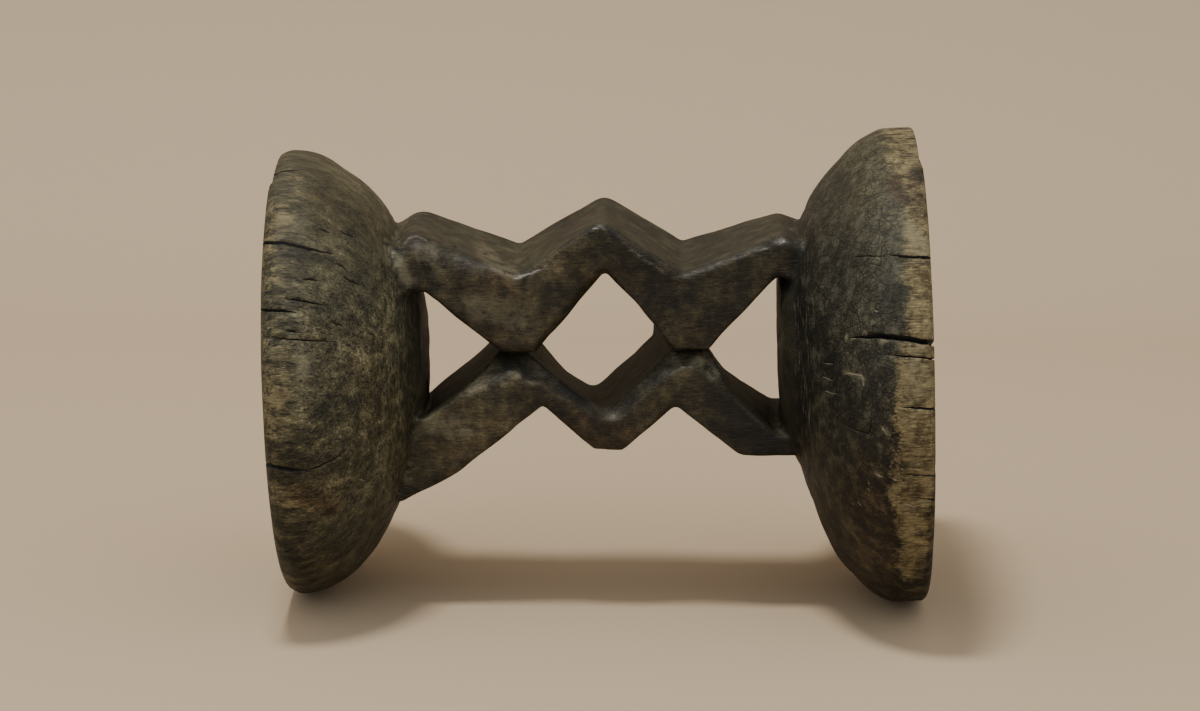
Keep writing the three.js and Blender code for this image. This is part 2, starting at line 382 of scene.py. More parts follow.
def smooth_join(a, b, reach):
    """Both together, with a small hollow where they meet."""
    return -smooth_cut(-a, -b, reach)


def block_field():
    """The plain form, and how much nearer each place is to the discs than to the legs."""
    discs = np.minimum(*(disc_field(profile) for profile in (base_profile(), seat_profile())))
    legs = smooth_join(*(leg_field(leg) for leg in (RIGHT_LEG, LEFT_LEG)), LEG_FILLET)
    return smooth_join(legs, discs, ROOT_FILLET), legs - discs


def relief(x, y, z, leg):
    """How far the worn, tool-marked surface lies below the plain form, in millimetres."""
    disc = 1 - leg
    around = np.arctan2(y, x - middle_at(z))
    r = np.hypot(x - middle_at(z), y)
    depth = 0.7 * noise(x, y, z, 55.0, 3) + 0.3 * noise(x, y, z, 17.0, 4)
    coarse = 0.8 + 1.0 * ease(-x, 40, 90)
    depth = depth + disc * coarse * scoops(around * 80, r, z, (32.0, 19.0, 19.0), 11)
    depth = depth + leg * 0.8 * scoops(x, y, z, (16.0, 20.0, 18.0), 21)
    depth = depth + 0.04 * noise(x, y, z, (3.2, 3.2, 45.0), 31)
    tool_lines = noise(r, around * 10, z, (2.6, 7.0, 60.0), 41)
    near_legs = disc * fade(r, 70, 92)
    depth = depth + (0.03 + 0.20 * near_legs) * disc * tool_lines
    flat_rim = ease(r, 92, 104) * np.maximum(ease(z, HEIGHT - 5, HEIGHT - 1), ease(-z, -5, -1))
    return depth * (1 - 0.8 * flat_rim)


def rim_losses(x, y, z):
    """Dents in the rims' edges."""
    bites = np.maximum(noise(x, y, z, (13.0, 13.0, 9.0), 61) - 0.5, 0) * 2.0
    on_rim = np.maximum(ease(z, HEIGHT - 8, HEIGHT - 1), ease(-z, -6, 0))
    return bites * on_rim * ease(np.hypot(x, y), 104, 114)


def split_faces():
    """How much has split off the seat's and the base's flat face, near the picture's upper side."""
    x, y = XS[:, None], YS[None, :]
    across = x + 1.2 * noise(x, y, 0 * x, 14.0, 51)
    return SEAT_SPLIT * ease(across, 110, 111), BASE_SPLIT * ease(across, 114.5, 115.5)


def carved_field():
    """The finished form: the plain one with its relief, kept inside the block."""
    field, leg_side = block_field()
    near = np.abs(field) < BAND
    i, j, k = np.nonzero(near)
    x, y, z = XS[i], YS[j], ZS[k]
    leg = ease(-leg_side[near], -2.0, 2.0)
    field[near] = field[near] + relief(x, y, z, leg) + rim_losses(x, y, z)
    field = np.clip(field, -BAND, BAND)
    seat_split, base_split = split_faces()
    field = np.maximum(field, base_split[:, :, None] - ZS[None, None, :])
    field = np.maximum(field, (ZS - HEIGHT)[None, None, :] + seat_split[:, :, None])
    field = np.maximum(field, (np.abs(XS) - BASE_RADIUS)[:, None, None])
    return np.maximum(field, (np.abs(YS) - BASE_RADIUS)[None, :, None])


def mesh_of_field(name, field, start):
    """A mesh, in metres, of where a grid of distances crosses 0."""
    grid = openvdb.FloatGrid(BAND)
    grid.copyFromArray(np.ascontiguousarray(field))
    points, triangles, quads = grid.convertToPolygons(isovalue=0.0, adaptivity=0.0)
    points = (points * VOXEL + np.array(start)) * MM
    faces = np.concatenate([quads[:, [0, 1, 2]], quads[:, [0, 2, 3]], triangles])
    mesh = bpy.data.meshes.new(name)
    mesh.vertices.add(len(points))
    mesh.vertices.foreach_set("co", points.astype(np.float32).ravel())
    mesh.loops.add(faces.size)
    mesh.loops.foreach_set("vertex_index", faces.astype(np.int32).ravel())
    mesh.polygons.add(len(faces))
    mesh.polygons.foreach_set("loop_start", np.arange(0, faces.size, 3, dtype=np.int32))
    mesh.update(calc_edges=True)
    mesh.validate()
    return mesh


def link(obj):
    bpy.context.scene.collection.objects.link(obj)
    return obj


def apply_modifiers(obj):
    """Replaces an object's mesh by what its modifiers make of it."""
    graph = bpy.context.evaluated_depsgraph_get()
    made = bpy.data.meshes.new_from_object(obj.evaluated_get(graph))
    obj.modifiers.clear()
    obj.data = made
    return obj


TRIANGLES = 186000


def carved_stool():
    mesh = mesh_of_field("stool_carved", carved_field(), (XS[0], YS[0], ZS[0]))
    obj = link(bpy.data.objects.new("stool_carved", mesh))
    thin = obj.modifiers.new("thin", "DECIMATE")
    thin.ratio = min(1.0, TRIANGLES / len(mesh.polygons))
    return apply_modifiers(obj)


# The photograph's camera

def camera_axes():
    """Towards the camera, the picture's right and the picture's up, as unit vectors."""
    azimuth = math.radians(CAMERA_AZIMUTH)
    elevation = math.radians(CAMERA_ELEVATION)
    roll = math.radians(CAMERA_ROLL)
    back = Vector((math.sin(azimuth) * math.cos(elevation),
                   -math.cos(azimuth) * math.cos(elevation), math.sin(elevation)))
    right = Vector((0, 0, -1))
    right = (right - right.dot(back) * back).normalized()
    up = back.cross(right)
    return (back, right * math.cos(roll) - up * math.sin(roll),
            right * math.sin(roll) + up * math.cos(roll))


def camera_place():
    return CAMERA_AIM + camera_axes()[0] * CAMERA_DISTANCE


def photo_camera():
    back, right, up = camera_axes()
    data = bpy.data.cameras.new("camera")
    data.sensor_width = SENSOR_WIDTH
    data.lens = PIXELS_PER_MM * CAMERA_DISTANCE * SENSOR_WIDTH / PHOTO_WIDTH
    camera = link(bpy.data.objects.new("camera", data))
    turn = Matrix((right, up, back)).transposed().to_4x4()
    camera.matrix_world = Matrix.Translation(camera_place() * MM) @ turn
    bpy.context.scene.camera = camera


def ray_through(u, v):
    """Direction from the camera through a pixel of the photograph."""
    back, right, up = camera_axes()
    scale = PIXELS_PER_MM * CAMERA_DISTANCE
    across = (u - PHOTO_WIDTH / 2) / scale
    upward = (PHOTO_HEIGHT / 2 - v) / scale
    return (right * across + up * upward - back).normalized()


# Cracks, splits and scratches along the grain

CRACK_LIFT = 1.2  # cutters start this far above the surface
CRACK_STEP = 1.6
CRACK_SEED = 7
END_SIZE = 0.15  # what is left of a cutter's size at its end
END_PART = 0.4  # how much of a cutter's length narrows to its end, and to its start
START_PART = 0.25
RIM_INSET = 1.5  # a crack over a rim bends this far in, and runs on this far
RIM_RUN = 22.0
CRACK_SWAY = 0.4  # how far lines stray from their pixels
SCRATCH_SWAY = 0.8

# Each is its width and depth in millimetres, where it starts, and the photograph's pixels that it
# runs along. One that starts at a rim runs on over the hidden edge.
CRACKS = {
    "seat_long": (1.9, 7.0, "rim", (261, 243), (283, 243), (300, 247), (318, 251), (333, 254)),
    "seat_upper": (1.0, 3.0, "inner", (285, 299), (303, 301), (326, 306)),
    "seat_middle": (1.5, 5.0, "rim", (258, 310), (285, 311), (297, 313)),
    "seat_lower": (0.7, 2.0, "inner", (268, 338), (298, 340), (338, 342)),
    "seat_deep": (2.2, 8.0, "rim", (263, 464), (276, 467), (292, 470), (307, 471)),
    "seat_branch": (0.9, 3.0, "inner", (305, 471), (318, 467), (334, 459), (350, 447)),
    "seat_chip": (1.4, 5.0, "rim", (271, 177), (281, 172), (301, 170)),
    "seat_stroke_a": (1.5, 2.0, "inner", (319, 229), (330, 233)),
    "seat_stroke_b": (0.9, 2.0, "inner", (341, 232), (356, 238)),
    "seat_stroke_c": (0.8, 2.0, "inner", (336, 263), (346, 269)),
    "seat_stroke_d": (1.0, 2.5, "inner", (343, 277), (361, 286)),
    "seat_stroke_e": (0.9, 2.0, "inner", (302, 279), (319, 281)),
    "seat_stroke_f": (0.8, 2.0, "inner", (286, 331), (300, 333)),
    "seat_stroke_g": (0.8, 2.0, "inner", (330, 322), (344, 327)),
    "seat_stroke_h": (0.9, 2.0, "inner", (283, 552), (297, 549)),
    "base_main": (2.8, 9.0, "rim", (936, 344), (920, 341), (900, 338), (878, 336), (848, 338)),
    "base_upper": (1.5, 5.0, "rim", (935, 258), (912, 257), (888, 255)),
    "base_under_main": (0.9, 4.0, "rim", (935, 360), (918, 357), (886, 355)),
    "base_lower": (1.1, 4.0, "rim", (935, 409), (918, 408), (900, 407)),
    "base_low_rim": (0.7, 2.5, "rim", (934, 476), (915, 475), (898, 474)),
    "base_low_rim_b": (0.6, 2.0, "rim", (934, 500), (909, 497)),
    "base_top": (1.0, 4.0, "rim", (918, 139), (900, 138), (884, 137)),
    "base_fissure": (0.9, 1.6, "inner", (845, 425), (856, 430), (868, 434), (871, 427), (871, 411)),
    "base_hair": (0.6, 1.5, "inner", (853, 257), (866, 256), (884, 257)),
    "leg_seam": (1.0, 4.0, "inner", (672, 351), (684, 350), (711, 350)),
}
# Each is its width in millimetres and its pixels
SCRATCHES = {
    "pale_hook": (0.9, (843, 374), (852, 373), (862, 375), (864, 379)),
    "pale_hook_end": (0.9, (864, 382), (863, 385)),
    "pale_a": (1.2, (881, 426), (886, 431)),
    "pale_a_low": (0.8, (889, 434), (891, 435)),
    "pale_b": (1.4, (875, 473), (883, 477)),
    "pale_c": (1.2, (891, 478), (899, 481)),
    "pale_d": (0.45, (822, 377), (833, 381)),
    "pale_e": (0.45, (824, 391), (838, 394)),
    "pale_f": (0.4, (823, 363), (834, 364)),
    "pale_g": (0.7, (867, 488), (870, 491)),
    "pale_h": (1.0, (903, 503), (913, 506)),
    "pale_i": (0.7, (874, 310), (879, 312)),
    "pale_k": (0.5, (857, 500), (862, 508)),
    "knot_nick": (0.8, (900, 468), (904, 470)),
    "rim_nick": (0.9, (904, 512), (912, 514)),
    "pale_l": (0.8, (868, 482), (870, 484)),
    "seat_nick": (0.8, (359, 479), (364, 481)),
}
WORM_HOLE = (455, 247)
WORM_RADIUS = 1.2
WORM_DEPTH = 4.0
SCRATCH_DEPTH = 0.5
SCRATCH_LIFT = 0.3
# Where the far rims are cracked, in degrees about the axis: the seat's and the base's
HIDDEN_CRACKS = ((HEIGHT, (35, 70, 118, 160)), (0.0, (20, 62, 101, 150)))
HIDDEN_STRAY = 6  # degrees either way
HIDDEN_SWAY = 0.006  # radians either way at each step
HIDDEN_RIM = 3.0  # how far from the flat face they start
HIDDEN_LENGTH = (18, 42)
HIDDEN_WIDTH = (0.6, 1.2)
HIDDEN_DEPTH = (4, 7)
OUTSIDE = 300  # from here rays are sent to the rims


def met(surface, start, way):
    """[(place in millimetres, way out of the surface)] where a ray first meets the stool, or []."""
    place, normal, _, _ = surface.ray_cast(start * MM, way)
    return [] if place is None else [(place / MM, normal)]


def seen(surface, u, v):
    """What a pixel of the photograph shows of the stool."""
    return met(surface, camera_place(), ray_through(u, v))


def surface_path(surface, pixels, rng, wander):
    """Points on the surface along a line of pixels, a step apart, wandering a little."""
    found = []
    for (u0, v0), (u1, v1) in zip(pixels, pixels[1:]):
        steps = max(2, int(math.hypot(u1 - u0, v1 - v0) / PIXELS_PER_MM / CRACK_STEP))
        for k in range(steps + (pixels[-1] == (u1, v1))):
            t = k / steps
            stray = rng.uniform(-wander, wander) if found else 0.0
            found += seen(surface, u0 + (u1 - u0) * t, v0 + (v1 - v0) * t + stray)
    return found


def over_the_rim(path):
    """Carries a path that starts at a disc's side on over the edge onto its flat face."""
    place = path[0][0]
    flat, outward = (HEIGHT, 1) if place.z > HEIGHT / 2 else (0.0, -1)
    spoke = place - Vector((float(middle_at(place.z)), 0, 0))
    spoke.z = 0
    spoke.normalize()
    top = Vector((place.x, place.y, flat))
    lean = Vector((0, 0, outward))
    return [(top - spoke * RIM_RUN, lean), (top - spoke * RIM_INSET, (spoke + lean).normalized()), *path]


def wedge(path, width, depth, narrow_start, lift=CRACK_LIFT):
    """A thin wedge that follows a path and narrows at its end: its vertices, in metres, and faces."""
    points = []
    last = len(path) - 1
    for i, (place, normal) in enumerate(path):
        ahead = path[min(i + 1, last)][0] - path[max(i - 1, 0)][0]
        side = normal.cross(ahead).normalized()
        t = i / max(last, 1)
        size = min(1.0, END_SIZE + (1 - t) / END_PART)
        if narrow_start:
            size = min(size, END_SIZE + t / START_PART)
        half = width / 2 * size * (1 + lift / depth)
        corners = (place + normal * lift + side * half, place - normal * depth * size,
                   place + normal * lift - side * half)
        points += [corner * MM for corner in corners]
    faces = [(a + j, a + 3 + j, a + 3 + (j + 1) % 3, a + (j + 1) % 3)
             for a in range(0, 3 * last, 3) for j in range(3)]
    return points, [*faces, (0, 1, 2), (3 * last + 2, 3 * last + 1, 3 * last)]


def pit(place, normal, radius, depth, sides=10):
    """A small round hole's cutter."""
    across = normal.orthogonal().normalized()
    other = normal.cross(across)
    turns = [2 * math.pi * i / sides for i in range(sides)]
    points = [(place + normal * lift + (across * math.cos(a) + other * math.sin(a)) * radius) * MM
              for lift in (CRACK_LIFT, -depth) for a in turns]
    faces = [(i, i + sides, (i + 1) % sides + sides, (i + 1) % sides) for i in range(sides)]
    return points, [*faces, tuple(range(sides)), tuple(range(2 * sides - 1, sides - 1, -1))]


def cutter_object(name, forms, material):
    points, faces = [], []
    for form_points, form_faces in forms:
        faces += [tuple(i + len(points) for i in face) for face in form_faces]
        points += form_points
    mesh = bpy.data.meshes.new(name)
    mesh.from_pydata(points, [], faces)
    mesh.materials.append(material)
    builder = bmesh.new()
    builder.from_mesh(mesh)
    bmesh.ops.recalc_face_normals(builder, faces=builder.faces)
    bmesh.ops.triangulate(builder, faces=builder.faces)
    builder.to_mesh(mesh)
    builder.free()
    return link(bpy.data.objects.new(name, mesh))


def hidden_cracks(surface, rng):
    """Cracks down the rims where the photograph doesn't show them, fewer and plainer."""
    found = []
    for flat, angles in HIDDEN_CRACKS:
        for degrees in angles:
            angle = math.radians(degrees + rng.uniform(-HIDDEN_STRAY, HIDDEN_STRAY))
            spoke = Vector((math.cos(angle), math.sin(angle), 0))
            path = []
            for k in range(int(rng.uniform(*HIDDEN_LENGTH) / CRACK_STEP)):
                height = abs(flat - HIDDEN_RIM - k * CRACK_STEP)
                turn = Matrix.Rotation(rng.uniform(-HIDDEN_SWAY, HIDDEN_SWAY), 3, "Z")
                start = turn @ spoke * OUTSIDE + Vector((float(middle_at(height)), 0, height))
                path += met(surface, start, -spoke)
            width, depth = rng.uniform(*HIDDEN_WIDTH), rng.uniform(*HIDDEN_DEPTH)
            found.append(wedge(over_the_rim(path), width, depth, False))
    return found


def cut(obj, cutter):
    step = obj.modifiers.new("cut", "BOOLEAN")
    step.operation = "DIFFERENCE"
    step.solver = "MANIFOLD"
    step.object = cutter
    step.material_mode = "TRANSFER"
    apply_modifiers(obj)
    bpy.data.objects.remove(cutter)


def weather(obj, dark, pale):
    """Cuts the cracks, scratches and the worm hole into the stool."""
    rng = random.Random(CRACK_SEED)
    surface = BVHTree.FromObject(obj, bpy.context.evaluated_depsgraph_get())
    cracks = []
    for width, depth, start, *pixels in CRACKS.values():
        path = surface_path(surface, pixels, rng, CRACK_SWAY)
        if start == "rim":
            path = over_the_rim(path)
        cracks.append(wedge(path, width, depth, start != "rim"))
    cracks += hidden_cracks(surface, rng)
    cracks.append(pit(*seen(surface, *WORM_HOLE)[0], WORM_RADIUS, WORM_DEPTH))
    scratches = []
    for width, *pixels in SCRATCHES.values():
        path = surface_path(surface, pixels, rng, SCRATCH_SWAY)
        scratches.append(wedge(path, width, SCRATCH_DEPTH, True, SCRATCH_LIFT))
    cut(obj, cutter_object("cracks", cracks, dark))
    cut(obj, cutter_object("scratches", scratches, pale))


# Where the surface is worn, bare, dirty or crusted, kept on the mesh for the material

MARK_LUMPS = 5.0
MARK_CHANGE = 0.25
MARK_EDGE = (0.4, 1.2)  # where a mark starts to fade and where it ends, in parts of its reach
BEND_ROUNDS = 3
BEND_KEPT = 0.4
RIDGE_BEND = (0.03, 0.16)
HOLLOW_BEND = (0.02, 0.14)

# Marks that stand out in the photograph: the reach on each side in millimetres, how strong each is,
# and its line of pixels
# Dark knots, stains and seams; the corner, contact and shade entries are painted shade
DARK_AND_SHADE_MARKS = {
    "rim_knot": (3.0, 0.9, (901, 467)),
    "rim_knot_below": (3.6, 0.8, (914, 489)),
    "rim_knot_low": (2.6, 0.7, (919, 534)),
    "rim_stain_top": (4.5, 0.8, (914, 172), (920, 178)),
    "rim_stain": (6.0, 0.36, (902, 190), (922, 202)),
    "rim_stain_mid": (5.5, 0.55, (886, 285), (893, 300)),
    "rim_gap": (1.8, 0.5, (905, 262), (930, 263)),
    "rim_low": (5.0, 0.5, (915, 585), (928, 560)),
    "seat_knot": (3.6, 0.8, (280, 520)),
    "seat_low_stroke": (2.0, 0.6, (283, 541), (296, 551)),
    "seat_blotch": (4.0, 0.45, (286, 251), (330, 262)),
    "seat_spot": (1.6, 0.7, (349, 213)),
    "leg_corner_shade": (5.0, 1.0, (777, 277), (788, 287)),
    "leg_left_corner_shade": (3.0, 0.9, (414, 288), (423, 296)),
    "crest_seam": (1.2, 0.9, (609, 231), (616, 240), (626, 248)),
    "right_slope_seam": (1.6, 0.6, (650, 270), (672, 281)),
    "leg_end": (9.0, 0.5, (728, 410), (745, 440), (765, 446)),
    "leg_contact_shadow": (4.0, 0.8, (488, 345), (505, 352)),
    "low_facet": (4.4, 0.85, (566, 389), (583, 401)),
    "low_facet_left": (3.0, 0.5, (520, 366), (532, 372)),
    "low_facet_right": (5.0, 0.6, (702, 378), (722, 405)),
    "low_facet_mid": (2.6, 0.6, (628, 404), (634, 398)),
    "worm_halo": (3.0, 0.5, (455, 247)),
    "root_crevice": (1.0, 0.9, (384, 243), (392, 245), (398, 252)),
    "root_shade": (2.4, 0.5, (413, 262), (418, 284)),
    "front_shade": (4.0, 0.35, (560, 300), (575, 290)),
    "front_shade_low": (3.0, 0.45, (506, 345), (530, 347)),
}
PALE_MARKS = {
    "seat_polish": (5.0, 0.4, (304, 350), (304, 372)),
    "root_patch": (2.8, 0.6, (396, 256), (402, 268)),
    "root_patch_low": (3.2, 0.5, (403, 275), (411, 283)),
    "root_cloud": (7.0, 0.28, (426, 254), (438, 268)),
    "root_line": (1.5, 0.45, (386, 240), (388, 262)),
    "slope": (5.0, 0.32, (484, 252), (512, 276)),
    "front_cloud": (8.0, 0.22, (470, 305), (520, 318)),
    "lens_lip": (1.6, 0.5, (468, 393), (484, 388), (507, 384), (519, 375)),
    "low_root_line": (1.6, 0.7, (415, 420), (428, 406)),
    "low_root": (7.0, 0.35, (432, 424), (470, 428)),
    "low_tip": (2.6, 0.42, (774, 420), (784, 431)),
    "right_facet": (4.0, 0.5, (698, 362), (713, 374)),
    "rim_bright": (6.0, 0.4, (908, 228), (922, 250)),
    "rim_bright_low": (6.0, 0.35, (914, 350), (918, 400)),
    "crack_end": (0.9, 0.9, (847, 338), (857, 338)),
    "crack_lip": (0.8, 0.6, (880, 340), (905, 343), (926, 347)),
    "crust_a": (0.8, 0.5, (842, 372), (862, 375), (864, 384)),
    "dome_fleck": (1.2, 0.35, (837, 258), (840, 262)),
    "dome_spot": (1.8, 0.5, (880, 444), (882, 449)),
    "dome_spot_low": (1.4, 0.4, (877, 473), (882, 476)),
    "dome_spot_mid": (1.4, 0.4, (884, 428), (888, 432)),
    "rim_scrape": (1.4, 0.7, (904, 503), (914, 507)),
}
# Polished wear along the legs' edges and facets, with painted glints and a painted sheen on it
POLISH_AND_GLINT_MARKS = {
    "root_crescent": (0.9, 0.55, (405, 243), (409, 238), (416, 236), (426, 240)),
    "left_glint": (1.1, 0.8, (514, 279), (530, 274), (547, 266)),
    "left_slope": (0.8, 0.6, (547, 266), (566, 255), (588, 241)),
    "crest": (0.8, 0.7, (592, 230), (600, 227), (604, 228)),
    "right_slope": (0.9, 0.55, (622, 243), (646, 260), (664, 272)),
    "right_notch": (0.9, 0.35, (672, 278), (694, 276)),
    "right_glint": (0.9, 0.5, (708, 270), (722, 263)),
    "right_glint_mid": (0.8, 0.45, (734, 259), (746, 255)),
    "right_glint_end": (0.9, 0.6, (756, 251), (768, 248)),
    "peak": (1.1, 0.7, (778, 243), (786, 241)),
    "left_facet": (3.0, 0.30, (540, 372), (556, 380)),
    "left_facet_low": (3.0, 0.20, (586, 402), (604, 411)),
    "right_facet": (3.0, 0.22, (618, 412), (640, 396)),
    "right_facet_up": (2.6, 0.18, (650, 386), (666, 374)),
    "lens": (3.0, 0.34, (490, 380), (506, 376)),
}
RED_MARKS = {
    "seat_patch": (8.0, 0.8, (300, 495), (328, 505)),
    "seat_grain": (3.0, 0.3, (280, 190), (330, 198)),
    "rim_stain": (7.0, 1.0, (896, 185), (922, 204)),
    "slope": (7.0, 0.8, (484, 252), (512, 276)),
    "low_peak": (9.0, 0.9, (584, 425), (618, 440)),
}


def mark_mask(x, y, z, facing, marks):
    """Soft marks placed where the photograph shows them, on the front only."""
    back, right, up = camera_axes()
    place = camera_place()
    rel = np.stack([x - place.x, y - place.y, z - place.z])
    scale = PIXELS_PER_MM * CAMERA_DISTANCE / -(np.array(back) @ rel)
    u = PHOTO_WIDTH / 2 + (np.array(right) @ rel) * scale
    v = PHOTO_HEIGHT / 2 - (np.array(up) @ rel) * scale
    uneven = MARK_CHANGE * noise(x, y, z, MARK_LUMPS, 81)
    total = np.zeros_like(x)
    for reach, strength, *path in marks.values():
        away = np.full_like(x, FAR)
        for (u0, v0), (u1, v1) in zip(path, path[1:] or path):
            du, dv = u1 - u0, v1 - v0
            t = np.clip(((u - u0) * du + (v - v0) * dv) / max(du * du + dv * dv, TINY), 0, 1)
            away = np.minimum(away, np.hypot(u - u0 - t * du, v - v0 - t * dv))
        away = away / PIXELS_PER_MM / reach + uneven
        total = np.maximum(total, strength * fade(away, *MARK_EDGE))
    return total * facing


def bend(mesh):
    """How sharply the surface bends at each vertex: above 0 on ridges, below 0 in hollows."""
    places, normals = places_and_normals(mesh)
    count = len(mesh.vertices)
    a, b = read(mesh.edges, "vertices", 2, np.int32)
    joined = np.bincount(a, minlength=count) + np.bincount(b, minlength=count)
    places = places.astype(np.float64)
    across = places[:, a] - places[:, b]
    lean = across / (across ** 2).sum(0)
    pull = np.stack([np.bincount(a, way, count) - np.bincount(b, way, count) for way in lean])
    value = (pull * normals).sum(0) / np.maximum(joined, 1)
    for _ in range(BEND_ROUNDS):
        spread = np.bincount(a, value[b], count) + np.bincount(b, value[a], count)
        value = BEND_KEPT * value + (1 - BEND_KEPT) * spread / np.maximum(joined, 1)
    return value


def read(items, name, width=1, kind=np.float32):
    """A property of every vertex or edge, with a row for each of its numbers if it has several."""
    values = np.empty(len(items) * width, kind)
    items.foreach_get(name, values)
    return values.reshape(-1, width).T if width > 1 else values


def places_and_normals(mesh):
    """X, Y, Z in millimetres and the way out of the surface, for every vertex."""
    return read(mesh.vertices, "co", 3) / MM, read(mesh.vertices, "normal", 3)


def keep(mesh, name, values):
    layer = mesh.attributes.new(name, "FLOAT", "POINT")
    layer.data.foreach_set("value", np.asarray(values, np.float32))


def measure_bend(mesh):
    """Ridges and hollows of the carved form, before the cracks are cut."""
    curve = bend(mesh)
    keep(mesh, "ridge", ease(curve, *RIDGE_BEND))
    keep(mesh, "hollow", ease(-curve, *HOLLOW_BEND))


# How light the patina is, from 0 near black to 1 pale: on the discs by X, on the legs by height
SEAT_TONES = ((-118, 0.37), (-95, 0.40), (-50, 0.55), (0, 0.62), (45, 0.58), (80, 0.51), (118, 0.49))
BASE_TONES = ((-118, 0.28), (-90, 0.28), (-45, 0.27), (0, 0.17), (40, 0.19), (80, 0.27), (118, 0.34))
UPPER_LEG_TONES = ((80, 0.35), (115, 0.29), (152, 0.27), (180, 0.42), (202, 0.46), (239, 0.42), (262, 0.38))
LOWER_LEG_TONES = ((70, 0.04), (86, 0.05), (115, 0.41), (152, 0.38), (184, 0.22), (223, 0.55), (249, 0.47))
LEG_TOP_TONE = 0.29
LEG_INNER_TONE = 0.27
# How high up the base's rim the bare wood reaches, by X
BARE_EDGES = (
    (-118, 17), (-90, 19), (-60, 21), (-30, 24), (-8, 21), (29, 19), (50, 14.5), (106, 13), (117, 22),
)
# How strongly the patina is mottled, by X
SEAT_MOTTLE = ((-110, 0.7), (-60, 0.9), (0, 1.3), (40, 1.15), (75, 0.7), (118, 0.5))
BASE_MOTTLE = ((-110, 1.0), (-50, 1.15), (0, 1.05), (50, 0.95), (90, 0.65))
LEG_MOTTLE = 1.25
FACING = (0.22, -0.97)  # X and Y of the way to the camera
LEG_REACH = 95  # the legs lie within this radius
BASE_TOP = 68
SEAT_BOTTOM = 255


